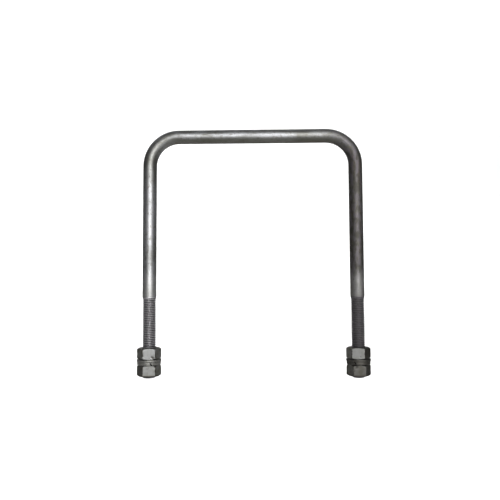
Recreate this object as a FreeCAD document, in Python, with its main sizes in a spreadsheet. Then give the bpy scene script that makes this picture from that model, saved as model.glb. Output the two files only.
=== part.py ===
import FreeCAD, Part
import math
import os
import re
import Sketcher

# A square-bend U-bolt: one round bar bent into a U, threaded on both legs, with two hexagon nuts,
# a flat washer and a split spring washer on each leg. Millimetres and degrees.
# Frame: X along the bar, Y across it, Z up. The origin is midway between the ends of the legs.

SIDES = ("left", "right")

# A sketch is first drawn about this large, and its constraints then bring it to size.
FIRST_DRAWN = 10

# Driving sizes. The threads are M16 x 2, right-handed, and the nuts and washers are made for them.
DRIVING = {
    "leg_spacing": 238,
    "overall_height": 285,
    "bar_diameter": 16,
    "bend_radius": 34,
    "pitch": 2,
    "thread_length": 92,
    "thread_turns": 45,
    "runout_rise": 3,
    "runout_cone": 24,
    "thread_major": 15.75,
    "thread_root": 13.4,
    "pitch_diameter": 14.7,
    "thread_angle": 60,
    "flank_play": 0.08,
    "end_chamfer": 1.3,
    "rod_beyond_nut": 2,
    "nut_width": 24,
    "nut_height": 13,
    "nut_bore": 13.85,
    "nut_thread_major": 16.2,
    "nut_countersink": 16.8,
    "nut_chamfer_circle": 22.8,
    "nut_chamfer_angle": 30,
    "flat_washer_outer": 28,
    "flat_washer_bore": 17,
    "flat_washer_thick": 2.5,
    "flat_washer_rounding": 0.4,
    "spring_washer_outer": 27,
    "spring_washer_bore": 17,
    "spring_washer_thick": 3.5,
    "spring_washer_rounding": 0.3,
    "split_width": 1.2,
    "split_lean": 1.6,
    "seat_gap": 0.03,
    # Which way a piece faces about its own leg: degrees from the front (-Y) towards +X.
    "left_upper_nut_facing": 9,
    "left_lower_nut_facing": 10,
    "right_upper_nut_facing": -10,
    "right_lower_nut_facing": -3,
    "left_spring_washer_facing": 19,
    "right_spring_washer_facing": -25,
}

# Places and radii that follow from the driving sizes and from each other.
DERIVED = {
    "left_leg": "-leg_spacing / 2",
    "right_leg": "leg_spacing / 2",
    "bar_radius": "bar_diameter / 2",
    "bar_level": "overall_height - bar_radius",
    "bend_level": "bar_level - bend_radius",
    "left_bend_end": "left_leg + bend_radius",
    "right_bend_end": "right_leg - bend_radius",
    "thread_radius": "thread_major / 2",
    "rod_end_radius": "thread_radius - end_chamfer",
    "thread_shoulder": "thread_length - bar_radius + thread_radius",
    "flank_slope": "tan(thread_angle / 2)",
    "pitch_radius": "pitch_diameter / 2",
    # The groove between the rod's threads. Its helix starts one pitch below the end of the leg, and
    # after a whole number of turns a second, widening helix lifts it out of the bar.
    "groove_start": "-pitch",
    "groove_rise": "thread_turns * pitch",
    "runout_start": "groove_start + groove_rise",
    "groove_floor": "thread_root / 2",
    "groove_mouth": "bar_radius + pitch / 8",
    "groove_floor_half": "pitch / 4 + flank_play + (groove_floor - pitch_radius) * flank_slope",
    "groove_mouth_half": "pitch / 4 + flank_play + (groove_mouth - pitch_radius) * flank_slope",
    # The groove in a nut takes the rod's thread, so it lies half a pitch away from the rod's groove.
    # It starts below the nut and ends above it. A groove's mouth is an eighth of a pitch into the open.
    "nut_bore_radius": "nut_bore / 2",
    "nut_countersink_radius": "nut_countersink / 2",
    "nut_countersink_depth": "(nut_countersink_radius - nut_bore_radius) / 2",
    "nut_groove_start": "-pitch * 1.5",
    "nut_groove_floor": "nut_thread_major / 2",
    "nut_groove_mouth": "nut_bore_radius - pitch / 8",
    "nut_groove_floor_half": "pitch / 4 + flank_play - (nut_groove_floor - pitch_radius) * flank_slope",
    "nut_groove_mouth_half": "pitch / 4 + flank_play - (nut_groove_mouth - pitch_radius) * flank_slope",
    "nut_groove_rise": "nut_height + pitch * 3",
    # The cone that takes the corners off both ends of a nut. Its cut runs 1 mm past the corners.
    "nut_corner_circle": "nut_width / cos(30)",
    "chamfer_inner": "nut_chamfer_circle / 2",
    "chamfer_outer": "nut_corner_circle / 2 + 1",
    "chamfer_fall": "(chamfer_outer - chamfer_inner) * tan(nut_chamfer_angle)",
    # The stack on each leg, from the end of the rod upwards.
    "lower_nut_level": "rod_beyond_nut",
    "spring_washer_level": "lower_nut_level + nut_height + seat_gap",
    "flat_washer_level": "spring_washer_level + spring_washer_thick + seat_gap",
    "upper_nut_level": "flat_washer_level + flat_washer_thick + seat_gap",
}


def make_sheet(doc):
    """The spreadsheet of driving sizes: names in column A, and plain numbers with aliases in column B."""
    sheet = doc.addObject("Spreadsheet::Sheet", "Sizes")
    for row, (name, value) in enumerate(DRIVING.items(), start=1):
        sheet.set(f"A{row}", name)
        sheet.set(f"B{row}", str(value))
        sheet.setAlias(f"B{row}", name)
    doc.recompute()


def from_sheet(formula):
    """A formula of driving and derived sizes, written out as an expression of the sheet's cells."""

    def written_out(word):
        name = word.group()
        if name in DRIVING:
            return f"Sizes.{name}"
        if name in DERIVED:
            return f"({from_sheet(DERIVED[name])})"
        return name

    return re.sub("[a-z_]+", written_out, formula)


def new_body(doc, label):
    """An empty body whose label names its node."""
    body = doc.addObject("PartDesign::Body", label)
    body.Label = label
    return body


def new_sketch(body, name, role):
    """A sketch on one of the body's own origin planes."""
    sketch = body.newObject("Sketcher::SketchObject", name)
    plane = next(face for face in body.Origin.OriginFeatures if face.Role == role)
    sketch.AttachmentSupport = [(plane, "")]
    sketch.MapMode = "FlatFace"
    return sketch


def hold(sketch, kind, where, value, formula):
    """A constraint whose value comes from the sheet. The value given is only the solver's first guess."""
    index = sketch.addConstraint(Sketcher.Constraint(kind, *where, value))
    sketch.setExpression(f"Constraints[{index}]", from_sheet(formula))


def hold_point(sketch, edge, end, across, up):
    """Holds one end of an edge at formulas for its place across and up the sketch."""
    point = sketch.getPoint(edge, end)
    hold(sketch, "DistanceX", (-1, 1, edge, end), point.x, across)
    hold(sketch, "DistanceY", (-1, 1, edge, end), point.y, up)


def ring_of_points(count):
    """Evenly spaced points round the sketch's origin."""
    turns = [2 * math.pi * step / count for step in range(count)]
    return [FreeCAD.Vector(math.cos(turn), math.sin(turn), 0) * FIRST_DRAWN for turn in turns]


def closed_edges(sketch, points):
    """Straight edges round some points, joined end to end. Returns the edges' numbers."""
    ends = zip(points, points[1:] + points[:1])
    edges = [sketch.addGeometry(Part.LineSegment(here, there), False) for here, there in ends]
    for edge, after in zip(edges, edges[1:] + edges[:1]):
        sketch.addConstraint(Sketcher.Constraint("Coincident", edge, 2, after, 1))
    return edges


def outline(sketch, corners):
    """A closed outline of straight edges. Each corner is a pair of formulas: across and up."""
    edges = closed_edges(sketch, ring_of_points(len(corners)))
    for edge, (across, up) in zip(edges, corners):
        hold_point(sketch, edge, 1, across, up)


def circle(sketch, diameter, construction=False):
    """A circle about the sketch's origin. Returns its number."""
    shape = Part.Circle(FreeCAD.Vector(0, 0, 0), FreeCAD.Vector(0, 0, 1), FIRST_DRAWN)
    ring = sketch.addGeometry(shape, construction)
    sketch.addConstraint(Sketcher.Constraint("Coincident", ring, 3, -1, 1))
    hold(sketch, "Diameter", (ring,), 2 * FIRST_DRAWN, diameter)
    return ring


def turned(body, kind, name, sketch):
    """A full turn of a sketch about its own upright axis: a Revolution adds it, a Groove cuts it."""
    feature = body.newObject(f"PartDesign::{kind}", name)
    feature.Profile = sketch
    feature.ReferenceAxis = (sketch, ["V_Axis"])
    feature.Angle = 360


def thread_groove(body, name, across, start, floor, mouth, rise, cone="0"):
    """A right-hand thread cut along a helix. Floor and mouth are each a radius and half a width."""
    sketch = new_sketch(body, f"{name}_section", "XZ_Plane")
    sketch.setExpression("AttachmentOffset.Base.x", from_sheet(across))
    corners = []
    for sign, ends in (("-", (floor, mouth)), ("+", (mouth, floor))):
        corners += [(radius, f"{start} {sign} ({half})") for radius, half in ends]
    outline(sketch, corners)
    groove = body.newObject("PartDesign::SubtractiveHelix", name)
    groove.Profile = sketch
    groove.ReferenceAxis = (sketch, ["V_Axis"])
    groove.Mode = "pitch-height-angle"
    groove.setExpression("Pitch", from_sheet("pitch"))
    groove.setExpression("Height", from_sheet(rise))
    groove.setExpression("Angle", from_sheet(cone))
    groove.LeftHanded = False


def place(body, across, up, turn):
    """Stands a piece on its leg at a height, turned about the leg by a formula in degrees."""
    upright = FreeCAD.Rotation(FreeCAD.Vector(0, 0, 1), 1)
    body.Placement = FreeCAD.Placement(FreeCAD.Vector(), upright)
    body.setExpression("Placement.Base.x", from_sheet(across))
    body.setExpression("Placement.Base.z", from_sheet(up))
    body.setExpression("Placement.Rotation.Angle", from_sheet(turn))


def bar_path(body):
    """The centre line above the threads: up one leg, round two bends and down the other."""
    path = new_sketch(body, "bar_path", "XZ_Plane")
    runs = [
        (("left_leg", "thread_length"), ("left_leg", "bend_level")),
        (("left_bend_end", "bar_level"), ("right_bend_end", "bar_level")),
        (("right_leg", "bend_level"), ("right_leg", "thread_length")),
    ]
    # First drawn in bend radii: the legs two out from the middle, the bends four up, and the bar five up.
    bend = 5 * FIRST_DRAWN
    drawn = [[(-2, 2), (-2, 4)], [(-1, 5), (1, 5)], [(2, 4), (2, 2)]]
    for run, (ends, points) in enumerate(zip(runs, drawn)):
        path.addGeometry(Part.LineSegment(*[FreeCAD.Vector(x, y, 0) * bend for x, y in points]), False)
        for end, (across, up) in enumerate(ends, start=1):
            hold_point(path, run, end, across, up)
    # Each arc runs anticlockwise, from the end of one run to the start of the run before it.
    for run, centre, turn in ((0, (-1, 4), math.pi / 2), (1, (1, 4), 0)):
        ring = Part.Circle(FreeCAD.Vector(*centre, 0) * bend, FreeCAD.Vector(0, 0, 1), bend)
        arc = path.addGeometry(Part.ArcOfCircle(ring, turn, turn + math.pi / 2), False)
        path.addConstraint(Sketcher.Constraint("Tangent", run + 1, 1, arc, 1))
        path.addConstraint(Sketcher.Constraint("Coincident", run, 2, arc, 2))
    return path


def make_rod(doc):
    """The bent bar: a swept shank, with a turned-down and threaded end on each leg."""
    body = new_body(doc, "u_rod")
    section = new_sketch(body, "bar_section", "XY_Plane")
    section.setExpression("AttachmentOffset.Base.x", from_sheet("left_leg"))
    section.setExpression("AttachmentOffset.Base.z", from_sheet("thread_length"))
    circle(section, "bar_diameter")
    bar = body.newObject("PartDesign::AdditivePipe", "bent_bar")
    bar.Profile = section
    bar.Spine = bar_path(body)
    for side in SIDES:
        end = new_sketch(body, f"{side}_leg_end", "XZ_Plane")
        end.setExpression("AttachmentOffset.Base.x", from_sheet(f"{side}_leg"))
        outline(
            end,
            [
                ("0", "0"),
                ("rod_end_radius", "0"),
                ("thread_radius", "end_chamfer"),
                ("thread_radius", "thread_shoulder"),
                ("bar_radius", "thread_length"),
                ("0", "thread_length"),
            ],
        )
        turned(body, "Revolution", f"{side}_threaded_end", end)
    floor = ("groove_floor", "groove_floor_half")
    mouth = ("groove_mouth", "groove_mouth_half")
    for side in SIDES:
        thread = (f"{side}_thread", f"{side}_leg", "groove_start", floor, mouth, "groove_rise")
        runout = (f"{side}_runout", f"{side}_leg", "runout_start", floor, mouth, "runout_rise")
        thread_groove(body, *thread)
        thread_groove(body, *runout, cone="runout_cone")
    return body


def hexagon(sketch):
    """A regular hexagon about the sketch's origin, with one of its flats facing the front."""
    ring = circle(sketch, "nut_corner_circle", construction=True)
    edges = closed_edges(sketch, ring_of_points(6))
    for edge in edges:
        sketch.addConstraint(Sketcher.Constraint("PointOnObject", edge, 1, ring))
    for edge in edges[1:]:
        sketch.addConstraint(Sketcher.Constraint("Equal", edges[0], edge))
    sketch.addConstraint(Sketcher.Constraint("PointOnObject", edges[0], 1, -1))


def make_nut(doc, side, row):
    """A hexagon nut: both ends chamfered, bored, countersunk, and threaded to run on its leg."""
    body = new_body(doc, f"{side}_{row}_nut")
    # Turned by as much as it has climbed the thread, a nut's own thread lies in the rod's.
    # Its flats are turned back, so that they keep their own facing.
    climbed = f"{row}_nut_level / pitch * 360"
    flats = new_sketch(body, f"{body.Label}_flats", "XY_Plane")
    flats.setExpression("AttachmentOffset.Rotation.Angle", from_sheet(f"{body.Label}_facing - {climbed}"))
    hexagon(flats)
    blank = body.newObject("PartDesign::Pad", f"{body.Label}_blank")
    blank.Profile = flats
    blank.setExpression("Length", from_sheet("nut_height"))
    corners = new_sketch(body, f"{body.Label}_corner_cones", "XZ_Plane")
    for face, fall in (("0", "chamfer_fall"), ("nut_height", "nut_height - chamfer_fall")):
        outline(corners, [("chamfer_inner", face), ("chamfer_outer", face), ("chamfer_outer", fall)])
    turned(body, "Groove", f"{body.Label}_chamfers", corners)
    hole = new_sketch(body, f"{body.Label}_bore_section", "XZ_Plane")
    outline(
        hole,
        [
            ("0", "0"),
            ("nut_countersink_radius", "0"),
            ("nut_bore_radius", "nut_countersink_depth"),
            ("nut_bore_radius", "nut_height - nut_countersink_depth"),
            ("nut_countersink_radius", "nut_height"),
            ("0", "nut_height"),
        ],
    )
    turned(body, "Groove", f"{body.Label}_bore", hole)
    floor = ("nut_groove_floor", "nut_groove_floor_half")
    mouth = ("nut_groove_mouth", "nut_groove_mouth_half")
    name = f"{body.Label}_thread"
    thread_groove(body, name, "0", "nut_groove_start", floor, mouth, "nut_groove_rise")
    place(body, f"{side}_leg", f"{row}_nut_level", climbed)
    return body


def make_ring(doc, label, kind):
    """A flat ring with softened edges, which both kinds of washer start from."""
    body = new_body(doc, label)
    face = new_sketch(body, f"{label}_face", "XY_Plane")
    circle(face, f"{kind}_outer")
    circle(face, f"{kind}_bore")
    plate = body.newObject("PartDesign::Pad", f"{label}_plate")
    plate.Profile = face
    plate.setExpression("Length", from_sheet(f"{kind}_thick"))
    doc.recompute()
    rounding = body.newObject("PartDesign::Fillet", f"{label}_edges")
    rounding.Base = (plate, ["Face1"])
    rounding.UseAllEdges = True
    rounding.setExpression("Radius", from_sheet(f"{kind}_rounding"))
    return body


def make_flat_washer(doc, side):
    """A plain stamped ring under the upper nut."""
    body = make_ring(doc, f"{side}_flat_washer", "flat_washer")
    place(body, f"{side}_leg", "flat_washer_level", "0")
    return body


def make_spring_washer(doc, side):
    """A split ring, pressed flat. Its slit leans back against the turn that loosens a nut."""
    body = make_ring(doc, f"{side}_spring_washer", "spring_washer")
    slit = new_sketch(body, f"{body.Label}_slit_outline", "XZ_Plane")
    half = "split_width / 2"
    lean = "split_lean / 2"
    outline(
        slit,
        [
            (f"-{half} + {lean}", "0"),
            (f"{half} + {lean}", "0"),
            (f"{half} - {lean}", "spring_washer_thick"),
            (f"-{half} - {lean}", "spring_washer_thick"),
        ],
    )
    doc.recompute()
    whole = body.Shape.Volume
    split = body.newObject("PartDesign::Pocket", f"{body.Label}_split")
    split.Profile = slit
    split.Reversed = True
    split.setExpression("Length", from_sheet("spring_washer_outer"))
    place(body, f"{side}_leg", "spring_washer_level", f"{body.Label}_facing")
    doc.recompute()
    cut = whole - body.Shape.Volume
    if not 0 < cut < whole / 10:
        raise RuntimeError(f"the slit of {body.Label} takes {cut} mm3 away")
    return body


def check_and_export(doc, bodies):
    """Stops on any failed feature or shape, and otherwise writes each piece's own file."""
    failed = [item.Name for item in doc.Objects if {"Invalid", "Error"} & set(item.State)]
    if failed:
        raise RuntimeError(f"features that failed: {failed}")
    for body in bodies:
        shape = body.Shape
        if shape.isNull() or not shape.isValid() or len(shape.Solids) != 1:
            raise RuntimeError(f"{body.Label} isn't one valid solid")
    os.makedirs("parts", exist_ok=True)
    for body in bodies:
        body.Shape.exportStep(f"parts/{body.Label}.step")
        print(f"{body.Label}: {body.Shape.Volume:.1f} mm3, {len(body.Shape.Faces)} faces")


def main():
    """Builds every piece of the U-bolt and writes it."""
    doc = FreeCAD.newDocument("UBolt")
    make_sheet(doc)
    bodies = [make_rod(doc)]
    for side in SIDES:
        bodies.append(make_nut(doc, side, "upper"))
        bodies.append(make_flat_washer(doc, side))
        bodies.append(make_spring_washer(doc, side))
        bodies.append(make_nut(doc, side, "lower"))
    doc.recompute()
    check_and_export(doc, bodies)


main()
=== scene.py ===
import math

import bpy
import numpy as np
from mathutils import Matrix, Vector


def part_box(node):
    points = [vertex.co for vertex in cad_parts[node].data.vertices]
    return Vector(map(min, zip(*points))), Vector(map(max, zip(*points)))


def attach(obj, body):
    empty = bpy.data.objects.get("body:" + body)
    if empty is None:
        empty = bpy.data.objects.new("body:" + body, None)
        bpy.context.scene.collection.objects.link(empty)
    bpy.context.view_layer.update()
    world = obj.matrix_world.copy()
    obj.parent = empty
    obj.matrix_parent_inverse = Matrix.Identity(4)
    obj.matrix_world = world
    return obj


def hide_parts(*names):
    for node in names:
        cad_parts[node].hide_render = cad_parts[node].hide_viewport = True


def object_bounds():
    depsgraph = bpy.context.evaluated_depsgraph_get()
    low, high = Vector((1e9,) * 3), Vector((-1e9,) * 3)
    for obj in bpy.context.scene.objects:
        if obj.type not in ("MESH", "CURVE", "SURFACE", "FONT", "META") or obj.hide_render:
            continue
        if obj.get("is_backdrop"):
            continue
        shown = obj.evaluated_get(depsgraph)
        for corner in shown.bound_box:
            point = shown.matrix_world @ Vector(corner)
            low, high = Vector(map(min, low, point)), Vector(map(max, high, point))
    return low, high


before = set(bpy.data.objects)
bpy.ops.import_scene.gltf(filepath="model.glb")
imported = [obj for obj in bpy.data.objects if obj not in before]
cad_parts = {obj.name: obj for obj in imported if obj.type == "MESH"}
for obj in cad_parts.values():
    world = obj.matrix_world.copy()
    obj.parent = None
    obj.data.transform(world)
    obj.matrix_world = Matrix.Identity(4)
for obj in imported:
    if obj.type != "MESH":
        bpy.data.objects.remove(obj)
cad_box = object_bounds()

# A square-bend U-bolt with two nuts, a flat washer and a split spring washer on each leg.
# Every piece is built here in millimetres, in the frame's own axes, and is scaled to metres at the end.
# Angles about a leg run anticlockwise from +X. Which way a piece faces is given in degrees, from the front
# (-Y) towards +X.

METRES = 0.001
PITCH = 2.0
AROUND = 72  # Columns round the bar and its threads.
SHARP_EDGE = 38  # Degrees between two faces, past which their edge isn't shaded smooth.
SIDES = {"left": -1, "right": 1}

BAR_RADIUS = 8.0
rod_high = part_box("u_rod")[1] / METRES
LEG = rod_high.x - BAR_RADIUS
BAR_LEVEL = rod_high.z - BAR_RADIUS
BEND_RADIUS = 34.0
THREAD_LENGTH = 92.0
THREAD_RADIUS = 7.875
ROD_END_RADIUS = 6.575
ROD_END_LIP = 0.25
# The rod's end face is slightly hollow: shares of its radius, and how far in each lies.
ROD_END_HOLLOW = ((1.0, 0.0), (0.62, 0.06), (0.3, 0.1), (0.0, 0.11))
RUNOUT_START = 88.0
RUNOUT_END = 91.2
# The bar's skin: how far apart its sections stand, how many dents it has, and how deep its waves are.
STATION_SPACING = 1.6
BAR_DENTS = 46
BAR_UNEVENNESS = 0.012

# Thread forms: a share of one pitch, the radius there, and how deep in the groove it is, from 0 at the
# rod's crest to 1 at its root. The nut's groove lies half a pitch from the rod's.
ROD_THREAD = (
    (0.00, 6.70, 1.0),
    (0.10, 6.73, 0.95),
    (0.39, 7.70, 0.25),
    (0.45, 7.85, 0.0),
    (0.50, 7.875, 0.0),
    (0.55, 7.85, 0.0),
    (0.61, 7.70, 0.25),
    (0.90, 6.73, 0.95),
)
NUT_THREAD = (
    (0.06, 6.94, 0.5),
    (0.12, 7.02, 0.6),
    (0.42, 8.05, 1.0),
    (0.50, 8.08, 1.0),
    (0.58, 8.05, 1.0),
    (0.88, 7.02, 0.6),
    (0.94, 6.94, 0.5),
)

NUT_WIDTH = 24.0
NUT_CORNER_ROUND = 0.7
NUT_CHAMFER_RADIUS = 11.4
NUT_CHAMFER_SLOPE = math.tan(math.radians(30))
NUT_EDGE = 0.22
NUT_COUNTERSINK = 8.4
COUNTERSINK_SLOPE = 2.0
# How dirty the whole bore is, before its groove adds to it.
BORE_DIRT = 0.35
# Faces across one flat, round one corner, and up the wall.
FLAT_STEPS = 22
CORNER_STEPS = 3
WALL_ROWS = 16
# Rings of a nut's end face, from its bore outwards: radius, height above the face's level, and edge wear.
NUT_END_RINGS = (
    (NUT_COUNTERSINK + 0.15, 0.0, 0.6),
    (NUT_CHAMFER_RADIUS - 0.2, 0.0, 0.4),
    (NUT_CHAMFER_RADIUS, 0.03, 0.8),
)

# How grey each side's washers are: 0 is black oxide and 1 light scale.
WASHER_TONE = {"left": 1.0, "right": 0.1}
FLAT_WASHER = {"outer": 14.0, "bore": 8.5, "rounding": 0.4}
SPRING_WASHER = {"outer": 13.5, "bore": 8.5, "rounding": 0.35}
SPLIT_WIDTH = 1.2
SPLIT_LEAN = 1.6
SPLIT_EDGE = 0.18
RIM_UNEVENNESS = 0.02
# Faces round each washer, round one rounded edge of its section, and across its flat sides.
FLAT_WASHER_STEPS = 120
SPRING_WASHER_STEPS = 130
ROUNDING_STEPS = 4
SIDE_STEPS = 7

# The bottom edge of each lower nut is painted dark up to this height, as painted shade, and then the shade
# fades out.
BOTTOM_SHADE_HEIGHT = 1.3
BOTTOM_SHADE_FADE = 0.8
# A dent this deep is filled with dirt.
DIRT_DEPTH = 0.15

NUT_FACING = {
    "left_upper_nut": 9,
    "left_lower_nut": 10,
    "right_upper_nut": -10,
    "right_lower_nut": -3,
}
SPLIT_FACING = {"left": 19, "right": -25}
# How bare each nut's left, front and right flats are: 0 is black oxide and 1 bright metal. Between them, at
# this tone, lies dark scale.
DARK_SCALE_TONE = 0.3
FLAT_FINISH = {
    "left_upper_nut": (0.34, 1.0, 0.44),
    "left_lower_nut": (0.14, 0.70, 0.44),
    "right_upper_nut": (0.26, 0.68, 0.04),
    "right_lower_nut": (0.16, 0.12, 0.0),
}
# Dents: across the front flat from its middle, up from the nut's underside, size and depth.
FRONT_DENTS = {
    "left_upper_nut": ((3.2, 3.2, 0.9, 0.25), (4.9, 1.9, 1.2, 0.22)),
    "left_lower_nut": ((-2.0, 8.6, 0.8, 0.12),),
    "right_upper_nut": ((2.6, 3.4, 0.9, 0.15),),
    "right_lower_nut": ((-3.0, 11.0, 0.9, 0.4), (-3.6, 9.6, 0.8, 0.3)),
}
CORNER_DENTS = 9
CORNER_DENT_DEPTH = 0.25

# The floor lies just under the lowest place that a lower nut reaches on its thread.
FLOOR_LEVEL = -8.5 * METRES


class Shell:
    """One closed piece: its points, its faces, and what its material reads at each point."""

    def __init__(self):
        self.points = []
        self.faces = []
        self.finish = []
        self.grain = []

    def add(self, place, hollow=0.0, edge=0.0, tone=0.0, grain=None):
        """A point, with its dirt or depth in a groove, its edge wear and its tone. Returns its number."""
        self.points.append(place)
        self.finish.append((hollow, edge, tone))
        self.grain.append(place if grain is None else grain)
        return len(self.points) - 1

    def face(self, corners, flip=False):
        """A face between points, anticlockwise seen from outside. Some of them may be the same point."""
        kept = [here for here, after in zip(corners, corners[1:] + corners[:1]) if here != after]
        if len(kept) > 2:
            self.faces.append(kept[::-1] if flip else kept)

    def bridge(self, row, above):
        """A closed band of faces between two rows of points, facing out where the rows run anticlockwise."""
        for i in range(len(row)):
            j = (i + 1) % len(row)
            self.face([row[i], row[j], above[j], above[i]])

    def fan(self, row, middle, flip=False):
        """Faces from a closed row to one point in its middle."""
        for here, after in zip(row, row[1:] + row[:1]):
            self.face([here, after, middle], flip)


def polar(radius, angle, level, centre=0.0):
    """A point at an angle about an upright axis that stands at a place along X."""
    return (centre + radius * math.cos(angle), radius * math.sin(angle), level)


def helical_wall(shell, angles, form, low, high, radius_at, make_point, flip=False):
    """A thread between two flat rings. Its rows climb one pitch a turn and are cut off at both rings.
    radius_at trims the form's radius at a level, and make_point adds a point."""
    rings = {low: [], high: []}
    for level, ring in rings.items():
        ring.extend(make_point(angle, level, radius_at(form[0][1], level), 0.0) for angle in angles)
    first_turn = math.floor(low / PITCH) - 2
    last_turn = math.ceil(high / PITCH) + 1
    rows = []
    for turn in range(first_turn, last_turn + 1):
        for share, radius, depth in form:
            row = []
            for column, angle in enumerate(angles):
                level = (turn + share + angle / (2 * math.pi)) * PITCH
                if low < level < high:
                    row.append(make_point(angle, level, radius_at(radius, level), depth))
                else:
                    row.append(rings[low if level <= low else high][column])
            rows.append(row)
    turn_rows = len(form)
    for j in range(len(rows) - 1):
        for i in range(len(angles) - 1):
            shell.face([rows[j][i], rows[j][i + 1], rows[j + 1][i + 1], rows[j + 1][i]], flip)
        if j + turn_rows + 1 < len(rows):
            wrapped = [rows[j][-1], rows[j + turn_rows][0], rows[j + turn_rows + 1][0], rows[j + 1][-1]]
            shell.face(wrapped, flip)
    return rings[low], rings[high]


def rod_thread_radius(radius, level):
    """The thread's radius at a level: chamfered at the rod's end, and faded out at its run-out."""
    depth_left = min(1.0, max(0.0, (RUNOUT_END - level) / (RUNOUT_END - RUNOUT_START)))
    faded = THREAD_RADIUS - (THREAD_RADIUS - radius) * depth_left
    return min(faded, ROD_END_RADIUS + ROD_END_LIP + level)


def smooth(value):
    """A step from 0 to 1 with soft ends."""
    held = min(1.0, max(0.0, value))
    return held * held * (3 - 2 * held)


class BarPath:
    """The bar's centre line between its threaded ends: leg, bend, bar, bend and leg."""

    def __init__(self):
        self.leg_run = BAR_LEVEL - BEND_RADIUS - THREAD_LENGTH
        self.bend_run = BEND_RADIUS * math.pi / 2
        self.bar_run = 2 * (LEG - BEND_RADIUS)
        self.length = 2 * (self.leg_run + self.bend_run) + self.bar_run

    def at(self, along):
        """The centre and the turn from upright, at a length along the left half or the right half."""
        half = self.length / 2
        mirror = along > half
        run = self.length - along if mirror else along
        if run <= self.leg_run:
            x, z, turn = -LEG, THREAD_LENGTH + run, 0.0
        elif run <= self.leg_run + self.bend_run:
            turn = (run - self.leg_run) / BEND_RADIUS
            x = -LEG + BEND_RADIUS * (1 - math.cos(turn))
            z = BAR_LEVEL - BEND_RADIUS + BEND_RADIUS * math.sin(turn)
        else:
            turn = math.pi / 2
            x = -LEG + BEND_RADIUS + run - self.leg_run - self.bend_run
            z = BAR_LEVEL
        if mirror:
            return -x, z, math.pi - turn
        return x, z, turn


def bar_stations(path):
    """Lengths along the bar at which its sections stand."""
    count = round(path.length / STATION_SPACING)
    return [path.length * step / count for step in range(count + 1)]


def bar_dents(path):
    """Seeded handling dents: length along the bar, angle, size and depth."""
    random = np.random.default_rng(7)
    clear_end = 6
    for _ in range(BAR_DENTS):
        along = random.uniform(clear_end, path.length - clear_end)
        angle = random.uniform(0, 2 * math.pi)
        size = random.uniform(1.1, 2.6)
        yield along, angle, size, random.uniform(0.03, 0.14)


def bar_section_radii(path, stations, angles):
    """The bar's radius at every station and angle: nominal, less the dents and a slight unevenness."""
    along = np.array(stations)[:, None]
    angle = np.array(angles)[None, :]
    radii = np.full((len(stations), len(angles)), BAR_RADIUS)
    # Three waves of unlike lengths, which run round the bar as well as along it.
    waves = np.sin(along / 17 + 2 * angle)
    waves += np.sin(along / 9.3 - 3 * angle + 1.3)
    waves += np.sin(along / 31 + angle)
    fade_length = 10
    from_end = np.minimum(along, path.length - along)
    radii -= BAR_UNEVENNESS * (3 + waves) * np.minimum(1, from_end / fade_length)
    dent_stretch = 1.6
    for place, at, size, depth in bar_dents(path):
        around = (angle - at + math.pi) % (2 * math.pi) - math.pi
        distance = ((along - place) / dent_stretch) ** 2 + (around * BAR_RADIUS) ** 2
        radii -= depth * np.exp(-distance / size**2)
    return radii


def unrolled(angle, along):
    """Where a point of the bar's skin lies in its steel: across the bar, and its length from the left end."""
    return (BAR_RADIUS * math.cos(angle), BAR_RADIUS * math.sin(angle), along)


def threaded_end(shell, side, path, angles):
    """The threaded end of one leg, closed underneath. Returns the ring at the top of its thread."""
    centre = SIDES[side] * LEG
    whole = path.length + 2 * THREAD_LENGTH

    def point(angle, level, radius, depth):
        """A point of the thread, which tells the material how far it is cut and how far it is a crest."""
        if side == "left":
            grain = unrolled(angle, level)
        else:
            grain = unrolled(math.pi - angle, whole - level)
        cut = smooth((THREAD_LENGTH - 0.2 - level) / 0.6)
        place = polar(radius, angle, level, centre)
        return shell.add(place, hollow=depth, edge=cut * (1 - depth), tone=cut, grain=grain)

    top_level = THREAD_LENGTH - (BAR_RADIUS - THREAD_RADIUS)
    low, high = helical_wall(shell, angles, ROD_THREAD, ROD_END_LIP, top_level, rod_thread_radius, point)
    *rings, (_, middle_level) = ROD_END_HOLLOW
    outer = low
    for share, level in rings:
        inner = [point(angle, level, ROD_END_RADIUS * share, 0.0) for angle in angles]
        shell.bridge(inner, outer)
        outer = inner
    shell.fan(outer, point(0.0, middle_level, 0.0, 0.0), flip=True)
    return high


def make_rod():
    """The bent bar with both threads, as one closed mesh."""
    shell = Shell()
    path = BarPath()
    angles = [2 * math.pi * step / AROUND for step in range(AROUND)]
    left_top = threaded_end(shell, "left", path, angles)
    right_top = threaded_end(shell, "right", path, angles)
    stations = bar_stations(path)
    radii = bar_section_radii(path, stations, angles)
    below = left_top
    for along, section in zip(stations, radii):
        x, z, turn = path.at(along)
        row = []
        for angle, radius in zip(angles, section):
            across = radius * math.cos(angle)
            place = (x + across * math.cos(turn), radius * math.sin(angle), z - across * math.sin(turn))
            row.append(shell.add(place, grain=unrolled(angle, along + THREAD_LENGTH)))
        shell.bridge(below, row)
        below = row
    # Seen from above, the right leg's own columns run the other way from the bar's.
    shell.bridge(below, [right_top[(AROUND // 2 - column) % AROUND] for column in range(AROUND)])
    return shell


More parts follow.
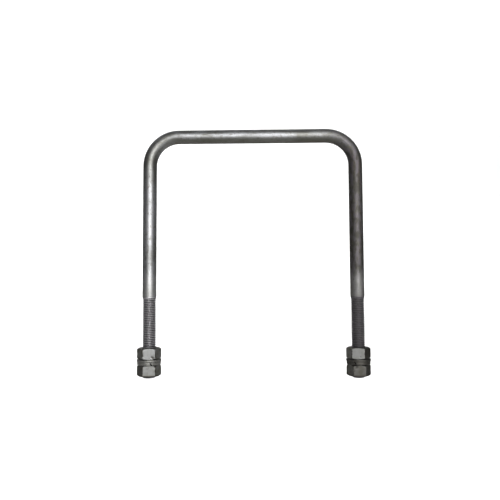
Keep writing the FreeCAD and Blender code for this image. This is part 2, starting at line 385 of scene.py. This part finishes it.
def nut_outline(facing):
    """Points round a hexagon: x, y, how worn each is by the nearest corner, and which flat it belongs to."""
    half_flat = NUT_WIDTH / 2 * math.tan(math.pi / 6) - NUT_CORNER_ROUND * math.tan(math.pi / 6)
    corner_centre = (NUT_WIDTH / 2 - NUT_CORNER_ROUND) / math.cos(math.pi / 6)
    worn_width = 0.4
    points = []
    for flat in range(6):
        out = math.radians(facing - 90 + 60 * flat)
        for step in range(FLAT_STEPS + 1):
            across = half_flat * math.sin(math.pi * (step / FLAT_STEPS - 0.5))
            x = NUT_WIDTH / 2 * math.cos(out) - across * math.sin(out)
            y = NUT_WIDTH / 2 * math.sin(out) + across * math.cos(out)
            points.append((x, y, smooth(1 - (half_flat - abs(across)) / worn_width), flat))
        corner = out + math.pi / 6
        for step in range(1, CORNER_STEPS + 1):
            turn = out + math.pi / 3 * step / (CORNER_STEPS + 1)
            x = corner_centre * math.cos(corner) + NUT_CORNER_ROUND * math.cos(turn)
            y = corner_centre * math.sin(corner) + NUT_CORNER_ROUND * math.sin(turn)
            points.append((x, y, 1.0, flat))
    # The rows start at the first point past the +X direction, so that their angles climb from 0.
    points.sort(key=lambda point: math.atan2(point[1], point[0]) % (2 * math.pi))
    return points


def nut_dents(name, facing, random):
    """A nut's dents: the marks on its front flat, and a few seeded ones on its corners. Each is given by its
    place, size and depth."""
    front = math.radians(facing - 90)
    for across, up, size, depth in FRONT_DENTS[name]:
        x = NUT_WIDTH / 2 * math.cos(front) - across * math.sin(front)
        y = NUT_WIDTH / 2 * math.sin(front) + across * math.cos(front)
        yield (x, y, up), size, depth
    corner_radius = NUT_WIDTH / 2 / math.cos(math.pi / 6)
    for _ in range(CORNER_DENTS):
        corner = front + math.pi / 6 + random.integers(0, 6) * math.pi / 3 + random.normal(0, 0.05)
        up = random.uniform(1, 12)
        yield polar(corner_radius, corner, up), random.uniform(0.5, 1.1), CORNER_DENT_DEPTH


def dented(dents, x, y, level):
    """How much nearer the axis the dents have pushed a point."""
    return sum(
        depth * math.exp(-((x - dx) ** 2 + (y - dy) ** 2 + (level - dz) ** 2) / size**2)
        for (dx, dy, dz), size, depth in dents
    )


def nut_bore(shell, angles, centre, bottom, height):
    """A nut's threaded bore, with a countersink at each end. Returns its lowest and highest rings."""

    def bore_radius(radius, level):
        """The bore's radius at a level, widened by the countersinks."""
        depth = min(level - bottom, bottom + height - level)
        return max(radius, NUT_COUNTERSINK - COUNTERSINK_SLOPE * depth)

    def point(angle, level, radius, depth):
        """A point of the bore's wall, dirtiest in the groove."""
        dirt = BORE_DIRT + (1 - BORE_DIRT) * depth
        return shell.add(polar(radius, angle, level, centre), hollow=dirt)

    return helical_wall(shell, angles, NUT_THREAD, bottom, bottom + height, bore_radius, point, flip=True)


def make_nut(name, centre, bottom, height):
    """A hexagon nut with rounded corners, chamfered ends and a thread in its bore."""
    shell = Shell()
    facing = NUT_FACING[name]
    random = np.random.default_rng(sorted(NUT_FACING).index(name))
    left, front, right = FLAT_FINISH[name]
    # The flats in their order round the nut. The three rear ones are rubbed at random.
    bare = [front, right, *random.uniform(0.05, 0.7, 3), left]
    outline = nut_outline(facing)
    angles = [math.atan2(y, x) % (2 * math.pi) for x, y, _, _ in outline]
    dents = list(nut_dents(name, facing, random))
    bottom_shaded = "lower" in name

    def ring(radius, level, edge):
        """A round row of an end face."""
        return [shell.add(polar(radius, angle, bottom + level, centre), edge=edge) for angle in angles]

    def wall(inset, share, edge):
        """A row round the wall: inset towards the axis, and up a share of the height between both cones."""
        row = []
        for x, y, corner, flat in outline:
            reach = math.hypot(x, y)
            cone = (reach - NUT_CHAMFER_RADIUS) * NUT_CHAMFER_SLOPE
            level = cone + share * (height - 2 * cone)
            if inset:
                level += (NUT_EDGE - inset) * (1 if share < 0.5 else -1)
            dent = dented(dents, x, y, level)
            shrink = 1 - (inset + dent) / reach
            place = (centre + x * shrink, y * shrink, bottom + level)
            # Painted shade: along a lower nut's bottom edge, clean falls to 0. This takes away the edge wear
            # and gives a tone of 0, which is black oxide.
            clean = smooth((level - BOTTOM_SHADE_HEIGHT) / BOTTOM_SHADE_FADE) if bottom_shaded else 1.0
            dirt = min(1.0, dent / DIRT_DEPTH)
            row.append(shell.add(place, dirt, max(edge, corner) * clean, bare[flat] * clean))
        return row

    low, high = nut_bore(shell, angles, centre, bottom, height)
    rows = [low]
    rows.extend(ring(radius, rise, edge) for radius, rise, edge in NUT_END_RINGS)
    rows.extend(wall(inset, 0.0, 1.0) for inset in (NUT_EDGE, NUT_EDGE * 0.3))
    for step in range(WALL_ROWS + 1):
        # The rows stand closest near both ends, where the edges are worn.
        share = 0.5 - 0.5 * math.cos(math.pi * (0.06 + 0.88 * step / WALL_ROWS))
        rows.append(wall(0.0, share, smooth(1 - min(share, 1 - share) / 0.08)))
    rows.extend(wall(inset, 1.0, 1.0) for inset in (NUT_EDGE * 0.3, NUT_EDGE))
    rows.extend(ring(radius, height - rise, edge) for radius, rise, edge in reversed(NUT_END_RINGS))
    rows.append(high)
    for row, above in zip(rows, rows[1:]):
        shell.bridge(row, above)
    return shell


def ring_section(washer, height):
    """Points round a washer's cross-section, outwards along its underside: radius, level, edge wear."""
    rounding = washer["rounding"]
    outer_edge = washer["outer"] - rounding
    inner_edge = washer["bore"] + rounding
    side_radii = np.linspace(outer_edge, inner_edge, SIDE_STEPS + 1)[1:-1]
    corners = (
        (outer_edge, rounding, -90),
        (outer_edge, height - rounding, 0),
        (inner_edge, height - rounding, 90),
        (inner_edge, rounding, 180),
    )
    section = []
    for radius, level, start in corners:
        for step in range(ROUNDING_STEPS + 1):
            turn = math.radians(start + 90 * step / ROUNDING_STEPS)
            section.append((radius + rounding * math.cos(turn), level + rounding * math.sin(turn), 1.0))
        if start == 0:
            section.extend((side_radius, height, 0.0) for side_radius in side_radii)
        if start == 180:
            section.extend((side_radius, 0.0, 0.0) for side_radius in side_radii[::-1])
    return section


def ring_dent(angle, level, seed):
    """A slight unevenness of a washer's rim."""
    swing = math.sin(3 * angle + seed) + math.sin(7 * angle + 2 * seed + level) + math.sin(17 * angle - seed)
    return RIM_UNEVENNESS * (swing + 3) / 3


def make_flat_washer(side, centre, bottom, height):
    """A stamped ring: its rim bulges a little where it was sheared."""
    shell = Shell()
    middle = (FLAT_WASHER["outer"] + FLAT_WASHER["bore"]) / 2
    rows = []
    for radius, level, edge in ring_section(FLAT_WASHER, height):
        row = []
        for step in range(FLAT_WASHER_STEPS):
            angle = 2 * math.pi * step / FLAT_WASHER_STEPS
            inset = ring_dent(angle, level, SIDES[side]) * (radius > middle)
            place = polar(radius - inset, angle, bottom + level, centre)
            row.append(shell.add(place, edge=edge, tone=WASHER_TONE[side]))
        rows.append(row)
    for row, above in zip(rows, rows[1:] + rows[:1]):
        shell.bridge(row, above)
    return shell


def make_spring_washer(side, centre, bottom, height):
    """A split ring: a bar of rounded section bent round the leg, cut off on a slant at both ends."""
    shell = Shell()
    section = ring_section(SPRING_WASHER, height)
    middle = (SPRING_WASHER["outer"] + SPRING_WASHER["bore"]) / 2
    facing = math.radians(SPLIT_FACING[side] - 90)
    shares = [0.0, *np.linspace(0, 1, SPRING_WASHER_STEPS), 1.0]
    last = len(shares) - 1
    rows = []
    for number, share in enumerate(shares):
        cut_face = number in (0, last)
        bevel = 0.0 if cut_face else SPLIT_EDGE / middle
        row = []
        for radius, level, edge in section:
            if cut_face:
                radius += math.copysign(SPLIT_EDGE, middle - radius)
                level += math.copysign(SPLIT_EDGE, height / 2 - level)
            lean = (0.5 - level / height) * SPLIT_LEAN
            start = math.asin((lean + SPLIT_WIDTH / 2) / radius) + bevel
            stop = 2 * math.pi + math.asin((lean - SPLIT_WIDTH / 2) / radius) - bevel
            angle = facing + start + (stop - start) * share
            worn = 1.0 if number < 2 or number > last - 2 else edge
            inset = ring_dent(angle, level, SIDES[side] + 4) * (radius > middle)
            place = polar(radius - inset, angle, bottom + level, centre)
            row.append(shell.add(place, edge=worn, tone=WASHER_TONE[side]))
        rows.append(row)
    for row, after in zip(rows, rows[1:]):
        shell.bridge(after, row)
    for end, flip in ((rows[0], False), (rows[-1], True)):
        places = np.array([shell.points[point] for point in end])
        shell.fan(end, shell.add(tuple(places.mean(axis=0))), flip)
    return shell


def finished(shell, name, body, slot, material):
    """Makes a shell into an object that stands for its CAD node and rides on its body."""
    mesh = bpy.data.meshes.new(name)
    mesh.from_pydata([tuple(METRES * value for value in point) for point in shell.points], [], shell.faces)
    mesh.polygons.foreach_set("use_smooth", [True] * len(mesh.polygons))
    mesh.set_sharp_from_angle(angle=math.radians(SHARP_EDGE))
    for label, values in (("finish", shell.finish), ("grain", shell.grain)):
        layer = mesh.attributes.new(label, "FLOAT_VECTOR", "POINT")
        layer.data.foreach_set("vector", np.array(values, np.float32).ravel())
    mesh.materials.append(material)
    mesh.update()
    piece = bpy.data.objects.new(f"{name}_detailed", mesh)
    bpy.context.scene.collection.objects.link(piece)
    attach(piece, body)
    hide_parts(name)


class Nodes:
    """Short names for the few kinds of shader node that the steels are made of."""

    def __init__(self, name):
        self.material = bpy.data.materials.new(name)
        self.material.use_nodes = True
        self.tree = self.material.node_tree
        self.shader = self.tree.nodes["Principled BSDF"]

    def make(self, kind, settings=None, **inputs):
        """A node with its settings, and each input either linked or set. Underscores stand for spaces."""
        made = self.tree.nodes.new(f"ShaderNode{kind}")
        for key, value in (settings or {}).items():
            setattr(made, key, value)
        for key, value in inputs.items():
            self.feed(made.inputs[key.replace("_", " ")], value)
        return made

    def feed(self, socket, value):
        """Links an output to a socket, or sets the socket's own value."""
        if isinstance(value, bpy.types.NodeSocket):
            self.tree.links.new(value, socket)
        else:
            socket.default_value = value

    def math(self, operation, first, second=0.0):
        """Arithmetic on one or two values."""
        made = self.make("Math", {"operation": operation})
        self.feed(made.inputs[0], first)
        self.feed(made.inputs[1], second)
        return made.outputs[0]

    def attribute(self, name):
        """A vector that the mesh holds at each point."""
        return self.make("Attribute", {"attribute_name": name}).outputs["Vector"]

    def parts(self, vector):
        """A vector's three numbers."""
        return self.make("SeparateXYZ", Vector=vector).outputs

    def stretched(self, vector, scale, turn=(0.0, 0.0, 0.0)):
        """Coordinates turned, and scaled by a different amount along each axis."""
        made = self.make("Mapping", Vector=vector, Scale=scale, Rotation=turn)
        return made.outputs["Vector"]

    def noise(self, vector, scale, detail=3.0, roughness=0.55):
        """Soft noise about 1 / scale across."""
        made = self.make("TexNoise", Vector=vector, Scale=scale, Detail=detail, Roughness=roughness)
        return made.outputs["Fac"]

    def spots(self, vector, scale):
        """Distance to the nearest of some scattered points."""
        made = self.make("TexVoronoi", {"feature": "F1"}, Vector=vector, Scale=scale, Randomness=1.0)
        return made.outputs["Distance"]

    def between(self, value, low, high, out_low=0.0, out_high=1.0):
        """A value brought from one range to another, smoothly and held within it."""
        made = self.make("MapRange", {"interpolation_type": "SMOOTHSTEP"}, Value=value)
        for key, number in (("From Min", low), ("From Max", high), ("To Min", out_low), ("To Max", out_high)):
            self.feed(made.inputs[key], number)
        return made.outputs["Result"]

    def blend(self, share, first, second):
        """Two colours, mixed by a share."""
        made = self.make("Mix", {"data_type": "RGBA"})
        self.feed(made.inputs["Factor"], share)
        self.feed(made.inputs["A"], first)
        self.feed(made.inputs["B"], second)
        return made.outputs["Result"]

    def bumped(self, height, distance, strength):
        """A normal roughened by a height, whose full depth is a distance in metres."""
        return self.make("Bump", Height=height, Distance=distance, Strength=strength).outputs["Normal"]

    def surface(self, tint, roughness, normal):
        """Gives the shader everything that varies over the surface."""
        for key, value in (("Base Color", tint), ("Roughness", roughness), ("Normal", normal)):
            self.feed(self.shader.inputs[key], value)


def colour(red, green, blue):
    """An opaque colour."""
    return (red, green, blue, 1.0)


# Where the bar's colour changes, in millimetres: where each change starts and where it ends.
RUBBED_LENGTH = (410, 520)  # From the left end.
CLEAN_BAND = (16, 34)  # Above the threads.
UNDERSIDE_SHADE = (85, 120)  # Painted shade on the bar's underside, from the middle of the bar.
LEG_TOP_DARKENING = (10, 34)  # Darker, from the top of the left leg, both ways.

BLACK_OXIDE = colour(0.018, 0.017, 0.015)
OLIVE_SCALE = colour(0.036, 0.035, 0.028)
GREY_SCALE = colour(0.056, 0.056, 0.053)
PURPLE_GREY = colour(0.066, 0.061, 0.067)
SMOKY_SCALE = colour(0.035, 0.032, 0.035)
RUBBED_STEEL = colour(0.100, 0.101, 0.104)
BARE_STEEL = colour(0.082, 0.083, 0.082)
WORN_STEEL = colour(0.15, 0.15, 0.147)
CREST_STEEL = colour(0.22, 0.215, 0.224)
RUST = colour(0.075, 0.038, 0.020)


def steel_base(nodes):
    """What all the steels share: metal, whose glancing reflections its scale holds down."""
    nodes.shader.inputs["Metallic"].default_value = 1.0
    nodes.shader.inputs["Specular Tint"].default_value = colour(0.5, 0.5, 0.5)


def bar_scale(nodes, grain, streaks, rubbed):
    """Mill scale: grey and olive in long streaks, or black and smoky in blotches where nothing rubbed it."""
    streaked = nodes.blend(nodes.between(streaks, 0.38, 0.62), OLIVE_SCALE, GREY_SCALE)
    patches = nodes.noise(nodes.stretched(grain, (0.3, 0.3, 0.14)), 1.0, detail=5.0)
    blotched = nodes.blend(nodes.between(patches, 0.42, 0.58), BLACK_OXIDE, SMOKY_SCALE)
    return nodes.blend(nodes.between(rubbed, 0.0, 1.0, 0.9, 0.0), streaked, blotched)


def bar_pits(nodes, grain):
    """A few scattered pits: 1 in the middle of each, and 0 outside."""
    pits = nodes.between(nodes.spots(grain, 0.16), 0.16, 0.05)
    few = nodes.between(nodes.noise(grain, 0.11), 0.52, 0.60)
    return nodes.math("MULTIPLY", pits, few)


def bar_shank(nodes, grain, rubbed, streaks, speckle, pits):
    """The bar's colour away from its threads: scale, rubbed bare in clouds, spotted, pitted and rusty."""
    path = BarPath()
    across, _, along = nodes.parts(grain)
    middle = path.length / 2 + THREAD_LENGTH
    from_middle = nodes.math("ABSOLUTE", nodes.math("SUBTRACT", along, middle))
    from_leg_top = nodes.math("ABSOLUTE", nodes.math("SUBTRACT", along, THREAD_LENGTH + path.leg_run))

    clouds = nodes.noise(nodes.stretched(grain, (0.09, 0.09, 0.03)), 1.0, detail=3.0)
    bare = nodes.math("MULTIPLY", nodes.between(clouds, 0.34, 0.58, 0.25, 1.0), rubbed)
    shank = nodes.blend(bare, bar_scale(nodes, grain, streaks, rubbed), RUBBED_STEEL)

    # Painted shade: the bar's underside is darkened towards olive scale. The top of the left leg is darker as
    # well.
    fade_from, fade_to = UNDERSIDE_SHADE
    below = nodes.between(across, 1.5, 5.5)
    underside = nodes.math("MULTIPLY", below, nodes.between(from_middle, fade_to, fade_from))
    shank = nodes.blend(nodes.math("MULTIPLY", underside, 0.75), shank, OLIVE_SCALE)
    fade_from, fade_to = LEG_TOP_DARKENING
    shank = nodes.blend(nodes.between(from_leg_top, fade_to, fade_from, 0.0, 0.4), shank, OLIVE_SCALE)
    spotting = nodes.noise(nodes.stretched(grain, (0.45, 0.45, 0.3)), 1.0, detail=4.0, roughness=0.6)
    shank = nodes.blend(nodes.between(spotting, 0.52, 0.64, 0.0, 0.6), shank, OLIVE_SCALE)

    # Both legs are cleanest just above their threads, and the rubbed one more so.
    fade_from, fade_to = CLEAN_BAND
    to_thread = path.length / 2
    clean = nodes.between(from_middle, to_thread - fade_to, to_thread - fade_from)
    clean = nodes.math("MULTIPLY", clean, nodes.between(rubbed, 0.0, 1.0, 0.30, 0.5))
    shank = nodes.blend(clean, shank, WORN_STEEL)

    shank = nodes.blend(nodes.between(speckle, 0.57, 0.68, 0.0, 0.8), shank, OLIVE_SCALE)
    shank = nodes.blend(nodes.math("MULTIPLY", pits, 0.85), shank, BLACK_OXIDE)
    rust = nodes.math("MULTIPLY", nodes.between(speckle, 0.56, 0.68), nodes.between(clouds, 0.54, 0.64))
    return nodes.blend(nodes.math("MULTIPLY", rust, 0.6), shank, RUST)


def bar_thread(nodes, fine, hollow, edge, rubbed):
    """The threads' colour: grey flanks, crests worn bright on the rubbed leg, and dirt in the groove."""
    flank = nodes.blend(nodes.between(fine, 0.4, 0.7), PURPLE_GREY, GREY_SCALE)
    flank = nodes.blend(nodes.math("MULTIPLY", rubbed, 0.15), flank, WORN_STEEL)
    thread = nodes.blend(nodes.math("MULTIPLY", edge, rubbed), flank, CREST_STEEL)
    return nodes.blend(nodes.between(hollow, 0.2, 1.0, 0.0, 0.6), thread, BLACK_OXIDE)


def bar_steel():
    """Rolled bar with cut threads: rubbed bright and smooth on the left, rough and dark on the right."""
    nodes = Nodes("bar_steel")
    steel_base(nodes)
    hollow, edge, cut = nodes.parts(nodes.attribute("finish"))
    grain = nodes.attribute("grain")
    fade_from, fade_to = RUBBED_LENGTH
    rubbed = nodes.between(nodes.parts(grain)[2], fade_to, fade_from)
    streaks = nodes.noise(nodes.stretched(grain, (0.45, 0.45, 0.035)), 1.0, detail=5.0)
    speckle = nodes.noise(grain, 0.9, detail=4.0, roughness=0.65)
    fine = nodes.noise(grain, 4.0, detail=3.0)
    pits = bar_pits(nodes, grain)
    shank = bar_shank(nodes, grain, rubbed, streaks, speckle, pits)
    thread = bar_thread(nodes, fine, hollow, edge, rubbed)
    rough = nodes.between(rubbed, 0.0, 1.0, 0.60, 0.46)
    rough = nodes.math("ADD", rough, nodes.between(streaks, 0.3, 0.7, -0.04, 0.05))
    rough = nodes.math("ADD", rough, nodes.between(speckle, 0.4, 0.7, 0.0, 0.10))
    height = nodes.math("SUBTRACT", nodes.math("MULTIPLY", speckle, 0.6), pits)
    height = nodes.math("ADD", height, nodes.math("MULTIPLY", fine, 0.25))
    nodes.surface(nodes.blend(cut, shank, thread), rough, nodes.bumped(height, 0.00006, 0.8))
    return nodes.material


def nut_steel():
    """Forged nuts: each flat rubbed bare by its own amount, worn edges, dark scale and rust between, and
    painted shade along the lower nuts' bottom edges.
    """
    nodes = Nodes("nut_steel")
    steel_base(nodes)
    hollow, edge, tone = nodes.parts(nodes.attribute("finish"))
    grain = nodes.attribute("grain")
    strokes = nodes.noise(nodes.stretched(grain, (0.55, 0.55, 0.16), (0.0, 0.5, 0.35)), 1.0, detail=4.0)
    clouds = nodes.noise(grain, 0.17, detail=3.0)
    speckle = nodes.noise(grain, 0.8, detail=4.0, roughness=0.65)
    fine = nodes.noise(grain, 3.5, detail=3.0)
    scale_colour = nodes.blend(nodes.between(clouds, 0.4, 0.6), OLIVE_SCALE, GREY_SCALE)
    scale_colour = nodes.blend(nodes.between(speckle, 0.58, 0.70, 0.0, 0.4), scale_colour, RUST)
    # Tone 0 gives black oxide. The lower nuts' band of painted shade along their bottom edges comes in this
    # way.
    scale_colour = nodes.blend(nodes.between(tone, 0.0, DARK_SCALE_TONE), BLACK_OXIDE, scale_colour)
    stroked = nodes.between(strokes, 0.3, 0.6, 0.72, 1.0)
    rubbed = nodes.math("MULTIPLY", nodes.between(tone, DARK_SCALE_TONE, 1.0), stroked)
    scuffed = nodes.math("MULTIPLY", edge, nodes.between(speckle, 0.42, 0.62, 0.02, 0.34))
    body = nodes.blend(nodes.math("MAXIMUM", rubbed, scuffed), scale_colour, BARE_STEEL)
    body = nodes.blend(nodes.between(hollow, 0.2, 0.9, 0.0, 0.9), body, BLACK_OXIDE)
    rough = nodes.between(tone, DARK_SCALE_TONE, 1.0, 0.48, 0.33)
    rough = nodes.math("ADD", rough, nodes.between(strokes, 0.3, 0.7, -0.03, 0.05))
    rough = nodes.math("ADD", rough, nodes.between(speckle, 0.4, 0.7, 0.0, 0.08))
    height = nodes.math("ADD", nodes.math("MULTIPLY", speckle, 0.7), nodes.math("MULTIPLY", fine, 0.3))
    nodes.surface(body, rough, nodes.bumped(height, 0.00007, 0.8))
    return nodes.material


def washer_steel(name, worn_most):
    """Washers: stamped or coiled steel, darker than the nuts, with edges worn up to a given share."""
    nodes = Nodes(name)
    steel_base(nodes)
    _, edge, tone = nodes.parts(nodes.attribute("finish"))
    grain = nodes.attribute("grain")
    clouds = nodes.noise(grain, 0.25, detail=3.0)
    speckle = nodes.noise(grain, 1.1, detail=4.0, roughness=0.65)
    light = nodes.math("MULTIPLY", tone, nodes.between(clouds, 0.38, 0.62, 0.4, 1.0))
    body = nodes.blend(light, BLACK_OXIDE, OLIVE_SCALE)
    body = nodes.blend(nodes.between(speckle, 0.62, 0.72, 0.0, 0.6), body, RUST)
    worn = nodes.math("MULTIPLY", edge, nodes.between(speckle, 0.35, 0.6, 0.3 * worn_most, worn_most))
    body = nodes.blend(nodes.math("MULTIPLY", worn, tone), body, WORN_STEEL)
    nodes.surface(body, nodes.between(speckle, 0.3, 0.7, 0.46, 0.60), nodes.bumped(speckle, 0.00005, 0.7))
    return nodes.material


def build_pieces():
    """Every piece of the U-bolt, each in the place that its CAD node gives it."""
    bar = bar_steel()
    nut = nut_steel()
    flat = washer_steel("washer_steel", 0.45)
    spring = washer_steel("spring_steel", 0.4)
    finished(make_rod(), "u_rod", "bolt", "bar_steel", bar)
    makers = {
        "upper_nut": (make_nut, "nut_steel", nut),
        "lower_nut": (make_nut, "nut_steel", nut),
        "flat_washer": (make_flat_washer, "washer_steel", flat),
        "spring_washer": (make_spring_washer, "spring_steel", spring),
    }
    for side in SIDES:
        for kind, (maker, slot, material) in makers.items():
            name = f"{side}_{kind}"
            low, high = (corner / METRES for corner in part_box(name))
            # Each nut has a finish of its own. The washers differ only from side to side.
            label = name if maker is make_nut else side
            shell = maker(label, SIDES[side] * LEG, low.z, high.z - low.z)
            finished(shell, name, name, slot, material)


def pale_sweep():
    """A pale floor that curves up into a backdrop, so that no line shows between them."""
    reach = 12.0
    bend_start = 0.9
    bend = 0.8
    bend_steps = 16
    height = 2.6
    profile = [(-reach, 0.0), (bend_start, 0.0)]
    for step in range(1, bend_steps + 1):
        turn = math.pi / 2 * step / bend_steps
        profile.append((bend_start + bend * math.sin(turn), bend - bend * math.cos(turn)))
    profile.append((bend_start + bend, height))
    points = [(side * reach, y, z + FLOOR_LEVEL) for y, z in profile for side in (-1, 1)]
    faces = [(2 * i, 2 * i + 1, 2 * i + 3, 2 * i + 2) for i in range(len(profile) - 1)]
    mesh = bpy.data.meshes.new("pale_sweep")
    mesh.from_pydata(points, [], faces)
    mesh.polygons.foreach_set("use_smooth", [True] * len(faces))
    nodes = Nodes("pale_floor")
    place = nodes.make("TexCoord").outputs["Object"]
    tint = nodes.blend(nodes.noise(place, 3.0), colour(0.90, 0.90, 0.895), colour(0.93, 0.93, 0.93))
    nodes.feed(nodes.shader.inputs["Base Color"], tint)
    nodes.shader.inputs["Roughness"].default_value = 0.9
    nodes.shader.inputs["Specular IOR Level"].default_value = 0.1
    mesh.materials.append(nodes.material)
    sweep = bpy.data.objects.new("pale_sweep", mesh)
    bpy.context.scene.collection.objects.link(sweep)
    sweep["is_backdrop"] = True


def lamp(name, place, aim, size, power, spread=180):
    """A soft rectangular lamp that faces a point. A spread under 180 degrees narrows the light it sheds."""
    light = bpy.data.lights.new(name, "AREA")
    light.shape = "RECTANGLE"
    light.size, light.size_y = size
    light.energy = power
    light.spread = math.radians(spread)
    holder = bpy.data.objects.new(name, light)
    holder.location = place
    holder.visible_camera = False
    holder.rotation_euler = (Vector(aim) - Vector(place)).to_track_quat("-Z", "Y").to_euler()
    bpy.context.scene.collection.objects.link(holder)


def studio():
    """Soft light: a key lamp in front and to the right, a weak one behind, one that whitens the backdrop, and
    pale surroundings."""
    lamp("key", (0.20, -0.86, 0.42), (0.0, 0.0, 0.21), (0.90, 0.66), 8.4, spread=60)
    lamp("back", (-0.35, 0.75, 0.60), (0.0, 0.0, 0.15), (0.6, 0.5), 0.9, spread=60)
    lamp("backdrop", (0.0, 0.45, 1.6), (0.0, 1.5, 0.5), (3.4, 0.5), 32.0)
    world = bpy.data.worlds.new("studio")
    world.use_nodes = True
    background = world.node_tree.nodes["Background"]
    background.inputs["Color"].default_value = colour(0.95, 0.96, 1.0)
    background.inputs["Strength"].default_value = 0.34
    bpy.context.scene.world = world
    bpy.context.scene.view_settings.view_transform = "Standard"


def camera():
    """Looks from the front, a little right of the middle and from low down, slightly upwards."""
    place = (0.00975, -0.63275, 0.10695)
    yaw, pitch, roll = (math.radians(turn) for turn in (-1.17, 3.42, -0.31))
    lens_per_sensor = 1.1024
    made = bpy.data.cameras.new("camera")
    made.sensor_width = 36.0
    made.lens = made.sensor_width * lens_per_sensor
    holder = bpy.data.objects.new("camera", made)
    bpy.context.scene.collection.objects.link(holder)
    turned = Matrix.Rotation(-yaw, 4, "Z") @ Matrix.Rotation(math.pi / 2 + pitch, 4, "X")
    turned = turned @ Matrix.Rotation(roll, 4, "Z")
    holder.matrix_world = Matrix.Translation(place) @ turned
    bpy.context.scene.camera = holder


build_pieces()
pale_sweep()
studio()
camera()

boxes = {"cad": cad_box, "visual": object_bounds()}
{name: [list(corner) for corner in box] for name, box in boxes.items()}
